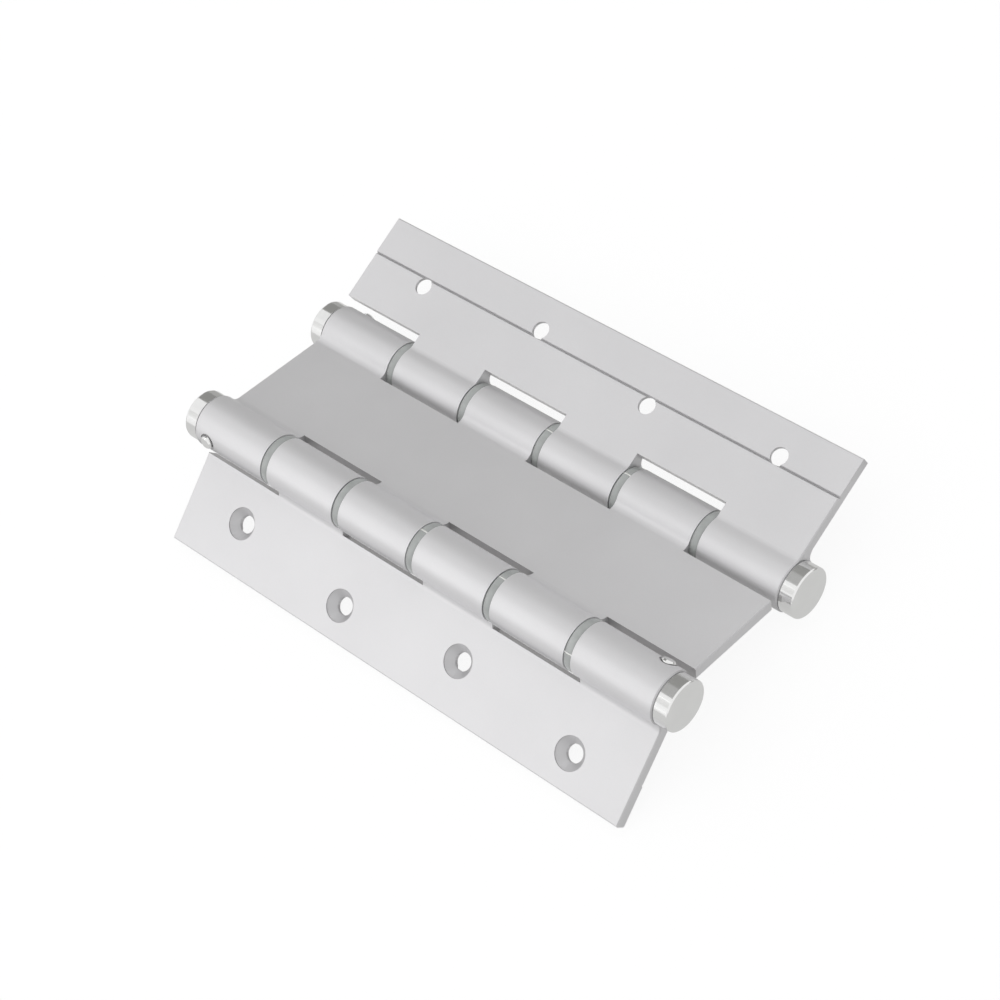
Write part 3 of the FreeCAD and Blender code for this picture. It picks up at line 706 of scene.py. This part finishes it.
def slit_turn(node, centre, floor):
    """Direction of a bush's slit about X, from +Y, read off the floor of the slit."""
    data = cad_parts[node].data
    points = np.empty(len(data.vertices) * 3)
    data.vertices.foreach_get("co", points)
    points = points.reshape(-1, 3) - np.array(centre)
    radius = np.hypot(points[:, 1], points[:, 2])
    near = points[np.abs(radius - floor) < SLIT_TOLERANCE]
    if not len(near):
        raise RuntimeError("%s has no slit" % node)
    middle = near.mean(axis=0)
    return math.atan2(middle[2], middle[1])


def put(name, mesh):
    thing = bpy.data.objects.new(name, mesh)
    bpy.context.scene.collection.objects.link(thing)
    return thing


# Settings

COLOUR = {"subtype": "COLOR", "size": 3, "min": 0.0, "max": 1.0}
METRES = {"unit": "LENGTH", "subtype": "DISTANCE"}


class HINGE_PG_looks(bpy.types.PropertyGroup):
    silver: bpy.props.FloatVectorProperty(
        name="Silver", description="Satin plating of the leaves", **COLOUR,
        default=(0.69, 0.685, 0.695))
    bare_edge: bpy.props.FloatVectorProperty(
        name="Rubbed edge", description="Edges that handling has brightened", **COLOUR,
        default=(0.74, 0.735, 0.73))
    # Painted shade on the slot walls behind the front barrel.
    sawn: bpy.props.FloatVectorProperty(
        name="Sawn walls", description="Painted shade on the slot walls behind the front barrel",
        **COLOUR, default=(0.56, 0.55, 0.555))
    # Painted light on the slot walls behind the back barrel.
    slot_wall_light: bpy.props.FloatVectorProperty(
        name="Slot wall light",
        description="Painted light on the slot walls behind the back barrel", **COLOUR,
        default=(0.93, 0.925, 0.92))
    silver_metal: bpy.props.FloatProperty(
        name="Silver metal", description="Share of bare metal in the look of the plating",
        min=0.0, max=1.0, default=0.62)
    silver_roughness: bpy.props.FloatProperty(
        name="Silver roughness", description="Spread of the reflections on the leaves", min=0.0,
        max=1.0, default=0.42)
    grain_size: bpy.props.FloatProperty(
        name="Grain", description="Size of the blasted grain under the plating", **METRES,
        min=0.0001, max=0.01, default=0.0004)
    nickel: bpy.props.FloatVectorProperty(
        name="Nickel", description="Bright plating of the caps and pins", **COLOUR,
        default=(0.82, 0.82, 0.815))
    nickel_roughness: bpy.props.FloatProperty(
        name="Nickel roughness", description="Spread of the reflections on the caps", min=0.0,
        max=1.0, default=0.12)
    nylon: bpy.props.FloatVectorProperty(
        name="Nylon", description="Moulded bushes", **COLOUR, default=(0.345, 0.358, 0.352))
    # Painted highlight in the bushes' slits, near white.
    slit_highlight: bpy.props.FloatVectorProperty(
        name="Slit highlight", description="Painted highlight in the slit of each bush", **COLOUR,
        default=(0.92, 0.92, 0.9))
    wire: bpy.props.FloatVectorProperty(
        name="Wire", description="Oiled spring wire", **COLOUR, default=(0.30, 0.29, 0.28))


class HINGE_PG_bushes(bpy.types.PropertyGroup):
    bore: bpy.props.FloatProperty(
        name="Bore", description="Knuckle bore that holds the sleeve", **METRES, default=0.007)
    running_radius: bpy.props.FloatProperty(
        name="Running radius", description="Sleeve in the knuckle that turns on it", **METRES,
        default=0.00695)
    sleeve_bore: bpy.props.FloatProperty(
        name="Sleeve bore", description="Inside of the sleeve", **METRES, default=0.0063)
    sleeve_length: bpy.props.FloatProperty(
        name="Sleeve length", description="Sleeve inside each knuckle", **METRES,
        default=0.0065)
    flange_crown: bpy.props.FloatProperty(
        name="Flange crown", description="Drop of the flange at its two sides", **METRES,
        default=0.0004)
    flange_shoulder: bpy.props.FloatProperty(
        name="Flange shoulder", description="Width of the rounding at each side of a flange",
        **METRES, default=0.0011)
    flange_clearance: bpy.props.FloatProperty(
        name="Flange clearance", description="End clearance at the running side", **METRES,
        default=0.0001)
    slit_width: bpy.props.FloatProperty(
        name="Slit width", description="Parting slit across the flange", **METRES,
        default=0.0005)
    slit_depth: bpy.props.FloatProperty(
        name="Slit depth", description="Depth of the parting slit", **METRES, default=0.0004)


class HINGE_PG_springs(bpy.types.PropertyGroup):
    wire_radius: bpy.props.FloatProperty(
        name="Wire radius", description="Half the thickness of the spring wire", **METRES,
        min=0.0005, max=0.003, default=0.0015)
    coil_radius: bpy.props.FloatProperty(
        name="Coil radius", description="Barrel axis to the middle of the wire", **METRES,
        min=0.003, max=0.02, default=0.0045)
    coil_pitch: bpy.props.FloatProperty(
        name="Pitch", description="Distance from one turn to the next", **METRES, min=0.001,
        max=0.02, default=0.00306)
    tang: bpy.props.FloatProperty(
        name="Tang", description="Straight end of the wire, inside its plug", **METRES,
        min=0.001, max=0.02, default=0.0042)
    bend: bpy.props.FloatProperty(
        name="Bend", description="Length of wire between a tang and the coil", **METRES,
        min=0.002, max=0.02, default=0.0048)


class HINGE_PG_studio(bpy.types.PropertyGroup):
    aim: bpy.props.FloatVectorProperty(
        name="Aim", description="Point that the camera looks at", subtype="TRANSLATION",
        unit="LENGTH", size=3, default=(0.001298, -0.000945, 0.014843))
    camera_distance: bpy.props.FloatProperty(
        name="Distance", description="Camera to the point that it looks at", **METRES, min=0.1,
        default=0.743584)
    camera_azimuth: bpy.props.FloatProperty(
        name="Azimuth", description="Camera's direction round the hinge, from the front",
        subtype="ANGLE", unit="ROTATION", default=math.radians(64.6946))
    camera_elevation: bpy.props.FloatProperty(
        name="Elevation", description="Camera's height above the horizon", subtype="ANGLE",
        unit="ROTATION", default=math.radians(53.7448))
    camera_roll: bpy.props.FloatProperty(
        name="Roll", description="Camera's turn about its own line of sight", subtype="ANGLE",
        unit="ROTATION", default=math.radians(-29.3635))
    lens: bpy.props.FloatProperty(
        name="Lens", description="Focal length on a 36 mm sensor, in millimetres", min=10.0,
        default=92.521)
    floor_size: bpy.props.FloatProperty(
        name="Floor", description="Side of the floor", **METRES, min=1.0, default=6.0)
    key_power: bpy.props.FloatProperty(
        name="Key lamp", description="Power of the large soft lamp in front, in watts", min=0.0,
        default=0.885)
    fill_power: bpy.props.FloatProperty(
        name="Fill lamp", description="Power of the soft lamp overhead, in watts", min=0.0,
        default=0.05)
    room: bpy.props.FloatProperty(
        name="Room", description="Brightness of the room on matt surfaces", min=0.0,
        default=0.92)
    room_side: bpy.props.FloatVectorProperty(
        name="Bright side", description="Direction of the room's bright side",
        subtype="DIRECTION", size=3, default=(-0.8, -0.45, 0.4))
    room_swing: bpy.props.FloatProperty(
        name="Room swing", description="How much brighter and dimmer the room's sides are",
        min=0.0, max=1.0, default=0.6)
    card: bpy.props.FloatVectorProperty(
        name="Grey card", description="Tone of the card behind the hinge", **COLOUR,
        default=(0.305, 0.305, 0.296))
    pale_card: bpy.props.FloatVectorProperty(
        name="Pale card", description="Tone of the small card overhead", **COLOUR,
        default=(0.43, 0.43, 0.425))
    light_card: bpy.props.FloatVectorProperty(
        name="Light card", description="Tone of the small card in front", **COLOUR,
        default=(0.81, 0.81, 0.805))
    # Painted shadow of the hinge on the floor, that only reflections see.
    floor_shadow_tone: bpy.props.FloatVectorProperty(
        name="Floor shadow", description="Tone of the painted shadow on the floor, that only reflections see", **COLOUR,
        default=(0.44, 0.44, 0.43))
    card_distance: bpy.props.FloatProperty(
        name="Card distance", description="Hinge to the bent cards", **METRES, min=0.5,
        default=2.5)
    floor_mirrored: bpy.props.FloatVectorProperty(
        name="Mirrored floor", description="Tone of the floor in reflections", **COLOUR,
        default=(0.672, 0.672, 0.666))
    floor_bounce: bpy.props.FloatVectorProperty(
        name="Floor bounce", description="Tone of the light that the floor throws back",
        **COLOUR, default=(0.55, 0.55, 0.55))
    shadow: bpy.props.FloatProperty(
        name="Shadow", description="Share of the floor's own light that the camera sees",
        min=0.0, max=1.0, default=0.09)


# Operators

class HINGE_OT_finish_leaves(bpy.types.Operator):
    """Give the three leaves their satin silver plating"""
    bl_idname = "hinge.finish_leaves"
    bl_label = "Finish leaves"

    def execute(self, context):
        looks = context.scene.hinge_looks
        for node in LEAVES:
            dress(node, satin_silver(node + "_silver", looks, FLANK_SHADES[node]))
        return {"FINISHED"}


class HINGE_OT_turn_bushes(bpy.types.Operator):
    """Turn the ten nylon bushes, each with a rounded flange and its slit"""
    bl_idname = "hinge.turn_bushes"
    bl_label = "Turn bushes"

    def execute(self, context):
        sizes = context.scene.hinge_bushes
        nylon = grey_nylon("grey_nylon", context.scene.hinge_looks)
        for node in BUSHES:
            low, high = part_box(node)
            centre = barrel_axis(node.split("_")[0])
            centre.x = (low[0] + high[0]) / 2
            # Every other knuckle is the centre leaf's, which holds the bush on that side.
            side = 1 if int(node[-1]) % 2 else -1
            end, radius = (high[0] - low[0]) / 2, (high[2] - low[2]) / 2
            turn = slit_turn(node, centre, radius - sizes.slit_depth)
            mesh = bush_surface(node + "_ring", centre, end, radius, side, turn, sizes)
            mesh.materials.append(nylon)
            ring = put(node + "_ring", mesh)
            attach(ring, "centre")
            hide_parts(node)
        return {"FINISHED"}


class HINGE_OT_finish_plugs(bpy.types.Operator):
    """Give the plugs, their caps and the lock pins a bright turned finish"""
    bl_idname = "hinge.finish_plugs"
    bl_label = "Finish plugs and pins"

    def execute(self, context):
        looks = context.scene.hinge_looks
        for side in SIDES:
            nickel = bright_nickel(side + "_bright_nickel", looks, barrel_axis(side))
            for node in PLUGS + PINS:
                if node.startswith(side):
                    dress(node, nickel)
        return {"FINISHED"}


class HINGE_OT_wind_springs(bpy.types.Operator):
    """Wind the two torsion springs, from the tang in one plug to the tang in the other"""
    bl_idname = "hinge.wind_springs"
    bl_label = "Wind springs"

    def execute(self, context):
        sizes = context.scene.hinge_springs
        steel = spring_steel("spring_steel", context.scene.hinge_looks)
        for side in SIDES:
            low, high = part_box(side + "_spring")
            first, last = tang_turns(side)
            along, turn, lean = wire_line(
                low[0], high[0], sizes.coil_radius, sizes.tang, sizes.bend,
                first, last, sizes.coil_pitch)
            mesh = wire_surface(
                side + "_spring_wire", along, turn, lean, sizes.coil_radius,
                sizes.wire_radius, barrel_axis(side))
            mesh.materials.append(steel)
            wire = put(side + "_spring_wire", mesh)
            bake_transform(wire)
            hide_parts(side + "_spring")
        return {"FINISHED"}


def tang_turns(side):
    """Turns of a spring's two tangs about X, from straight up, read off the frame's solid."""
    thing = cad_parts[side + "_spring"]
    points = np.empty(len(thing.data.vertices) * 3)
    thing.data.vertices.foreach_get("co", points)
    points = points.reshape(-1, 3)
    centre = np.array(barrel_axis(side))
    turns = []
    for edge in (points[:, 0].min(), points[:, 0].max()):
        tip = points[np.abs(points[:, 0] - edge) < TIP_TOLERANCE].mean(axis=0) - centre
        turns.append(math.atan2(-tip[1], tip[2]))
    if turns[1] < turns[0]:
        turns[1] += 2 * math.pi
    return turns


def blank_material(name):
    """A material with nothing but its output: (material, tree, output)."""
    made = bpy.data.materials.new(name)
    made.use_nodes = True
    tree = made.node_tree
    tree.nodes.clear()
    return made, tree, add_node(tree, "ShaderNodeOutputMaterial")


def seen_rays(tree):
    """The Light Path node, and 1 for rays of the camera, of mirrors and through glass."""
    rays = add_node(tree, "ShaderNodeLightPath")
    seen = sum_of(tree, "MAXIMUM", (rays, "Is Camera Ray"), (rays, "Is Glossy Ray"))
    return rays, sum_of(tree, "MAXIMUM", (seen, 0), (rays, "Is Transmission Ray"))


def floor_material(name, studio):
    """Pale floor. Through it the camera sees the white room, dimmed only by the shadow, so
    a leaf that swings below the floor stays in sight. Reflections see it in its own tone."""
    made, tree, finish = blank_material(name)
    matt = add_node(tree, "ShaderNodeBsdfDiffuse")
    glow = add_node(tree, "ShaderNodeEmission")
    glow.inputs["Color"].default_value = (*studio.floor_mirrored, 1.0)
    clear = add_node(tree, "ShaderNodeBsdfTransparent")
    rays, seen = seen_rays(tree)
    bounce = add_node(tree, "ShaderNodeMix", data_type="RGBA")
    join(tree, rays, "Is Diffuse Ray", bounce, "Factor")
    bounce.inputs["A"].default_value = (FLOOR_TONE, FLOOR_TONE, FLOOR_TONE, 1.0)
    bounce.inputs["B"].default_value = (*studio.floor_bounce, 1.0)
    join(tree, bounce, "Result", matt, "Color")
    share = sum_of(tree, "MULTIPLY", (seen, 0), 1.0 - studio.shadow)
    face = add_node(tree, "ShaderNodeMixShader")
    join(tree, rays, "Is Camera Ray", face, "Fac")
    join(tree, glow, "Emission", face, 1)
    join(tree, clear, "BSDF", face, 2)
    mix = add_node(tree, "ShaderNodeMixShader")
    join(tree, share, 0, mix, "Fac")
    join(tree, matt, "BSDF", mix, 1)
    join(tree, face, "Shader", mix, 2)
    join(tree, mix, "Shader", finish, "Surface")
    return made


def card_material(name, tone):
    """A plain card that shines in one tone."""
    made, tree, finish = blank_material(name)
    glow = add_node(tree, "ShaderNodeEmission")
    glow.inputs["Color"].default_value = (*tone, 1.0)
    join(tree, glow, "Emission", finish, "Surface")
    return made


def flat_sheet(name, corners):
    """A flat four-cornered sheet."""
    mesh = bpy.data.meshes.new(name)
    mesh.from_pydata([tuple(c) for c in corners], [], [(0, 1, 2, 3)])
    return put(name, mesh)


def bent_sheet(name, left, right, foot, top, radius):
    """A sheet on a cylinder about the X axis: (x, r cos a, r sin a), a from foot to top."""
    angle = np.linspace(foot, top, CARD_POINTS)
    rim = np.stack([np.zeros_like(angle), np.cos(angle), np.sin(angle)], axis=1) * radius
    points = np.concatenate([rim + (left, 0.0, 0.0), rim + (right, 0.0, 0.0)])
    low = np.arange(len(angle) - 1)
    high = low + len(angle)
    faces = np.stack([low, high, high + 1, low + 1], axis=1)
    mesh = bpy.data.meshes.new(name)
    mesh.from_pydata(points.tolist(), [], faces.tolist())
    return put(name, mesh)


def studio_world(name, studio):
    """White to the camera, to reflections and through glass, and an even room elsewhere."""
    world = bpy.data.worlds.new(name)
    world.use_nodes = True
    tree = world.node_tree
    back = tree.nodes["Background"]
    back.inputs["Color"].default_value = (1.0, 1.0, 1.0, 1.0)
    seen = seen_rays(tree)[1]
    # On matt surfaces the room is brighter towards the key and dimmer away from it.
    place = add_node(tree, "ShaderNodeTexCoord")
    towards = add_node(tree, "ShaderNodeVectorMath", operation="DOT_PRODUCT")
    join(tree, place, "Generated", towards, 0)
    towards.inputs[1].default_value = studio.room_side
    tilt = sum_of(tree, "MULTIPLY", (towards, "Value"), studio.room_swing)
    even = sum_of(tree, "ADD", (tilt, 0), 1.0)
    room = sum_of(tree, "MULTIPLY", (even, 0), studio.room)
    level = add_node(tree, "ShaderNodeMix", data_type="FLOAT")
    join(tree, seen, 0, level, "Factor")
    join(tree, room, 0, level, "A")
    level.inputs["B"].default_value = 1.0
    join(tree, level, "Result", back, "Strength")
    return world


def soft_lamp(name, place, target, width, height, power):
    """A rectangular lamp that faces a point, its width as near to the X axis as it can lie."""
    data = bpy.data.lights.new(name, "AREA")
    data.shape = "RECTANGLE"
    data.size = width
    data.size_y = height
    data.energy = power
    lamp = put(name, data)
    away = (Vector(place) - Vector(target)).normalized()
    upright = away.cross(Vector((1.0, 0.0, 0.0))).normalized()
    turn = Matrix((upright.cross(away), upright, away)).transposed()
    lamp.matrix_world = Matrix.Translation(place) @ turn.to_4x4()
    return lamp


def mirror_only(card, material):
    """Makes a sheet a card of the stage that only reflections see."""
    card.data.materials.append(material)
    for rays in ("camera", "diffuse", "transmission", "shadow", "volume_scatter"):
        setattr(card, "visible_" + rays, False)


class HINGE_OT_set_studio(bpy.types.Operator):
    """Set the floor, the lamps, the cards, the room and the camera"""
    bl_idname = "hinge.set_studio"
    bl_label = "Set studio"

    def execute(self, context):
        scene = context.scene
        studio = scene.hinge_studio
        scene.view_settings.view_transform = "Standard"

        half = studio.floor_size / 2
        floor = flat_sheet("floor", [
            (-half, -half, 0.0), (half, -half, 0.0), (half, half, 0.0), (-half, half, 0.0)])
        floor.data.materials.append(floor_material("pale_floor", studio))

        for name, (left, right, foot, top, tone) in BENT_CARDS.items():
            card = bent_sheet(
                name, left, right, math.radians(foot), math.radians(top), studio.card_distance)
            mirror_only(card, card_material(name, getattr(studio, tone)))
        # Painted shadow on the floor, as dark cards that only reflections see.
        for name, (left, right, near, rear) in FLOOR_SHADOW_CARDS.items():
            card = flat_sheet(name, [
                (left, near, CARD_LIFT), (right, near, CARD_LIFT), (right, rear, CARD_LIFT),
                (left, rear, CARD_LIFT)])
            mirror_only(card, card_material(name, studio.floor_shadow_tone))
        for name, (place, width, height, power) in LAMPS.items():
            soft_lamp(name, place, studio.aim, width, height, getattr(studio, power))
        scene.world = studio_world("studio", studio)

        azimuth, elevation = studio.camera_azimuth, studio.camera_elevation
        roll = studio.camera_roll
        back = Vector((
            math.sin(azimuth) * math.cos(elevation), -math.cos(azimuth) * math.cos(elevation),
            math.sin(elevation)))
        level = Vector((math.cos(azimuth), math.sin(azimuth), 0.0))
        above = back.cross(level)
        right = math.cos(roll) * level + math.sin(roll) * above
        up = math.cos(roll) * above - math.sin(roll) * level
        turn = Matrix((right, up, back)).transposed()
        data = bpy.data.cameras.new("camera")
        data.lens = studio.lens
        data.sensor_width = SENSOR_WIDTH
        data.sensor_fit = "AUTO"
        camera = put("camera", data)
        place = Vector(studio.aim) + studio.camera_distance * back
        camera.matrix_world = Matrix.Translation(place) @ turn.to_4x4()
        scene.camera = camera
        return {"FINISHED"}


class HINGE_PT_panel(bpy.types.Panel):
    """Steps and sizes of the hinge"""
    bl_idname = "HINGE_PT_panel"
    bl_label = "Spring hinge"
    bl_space_type = "VIEW_3D"
    bl_region_type = "UI"
    bl_category = "Hinge"

    def draw(self, context):
        for kind in OPERATORS:
            self.layout.operator(kind.bl_idname)
        for group in (context.scene.hinge_looks, context.scene.hinge_bushes,
                      context.scene.hinge_springs, context.scene.hinge_studio):
            box = self.layout.box()
            for name in group.__annotations__:
                box.prop(group, name)


GROUPS = (HINGE_PG_looks, HINGE_PG_bushes, HINGE_PG_springs, HINGE_PG_studio)
OPERATORS = (
    HINGE_OT_finish_leaves, HINGE_OT_turn_bushes, HINGE_OT_finish_plugs,
    HINGE_OT_wind_springs, HINGE_OT_set_studio,
)


def register():
    for kind in GROUPS + OPERATORS + (HINGE_PT_panel,):
        bpy.utils.register_class(kind)
    bpy.types.Scene.hinge_looks = bpy.props.PointerProperty(type=HINGE_PG_looks)
    bpy.types.Scene.hinge_bushes = bpy.props.PointerProperty(type=HINGE_PG_bushes)
    bpy.types.Scene.hinge_springs = bpy.props.PointerProperty(type=HINGE_PG_springs)
    bpy.types.Scene.hinge_studio = bpy.props.PointerProperty(type=HINGE_PG_studio)


def unregister():
    for name in ("hinge_studio", "hinge_springs", "hinge_bushes", "hinge_looks"):
        delattr(bpy.types.Scene, name)
    for kind in reversed(GROUPS + OPERATORS + (HINGE_PT_panel,)):
        bpy.utils.unregister_class(kind)


def main():
    register()
    bpy.ops.hinge.finish_leaves()
    bpy.ops.hinge.turn_bushes()
    bpy.ops.hinge.finish_plugs()
    bpy.ops.hinge.wind_springs()
    bpy.ops.hinge.set_studio()


if __name__ == "__main__":
    main()
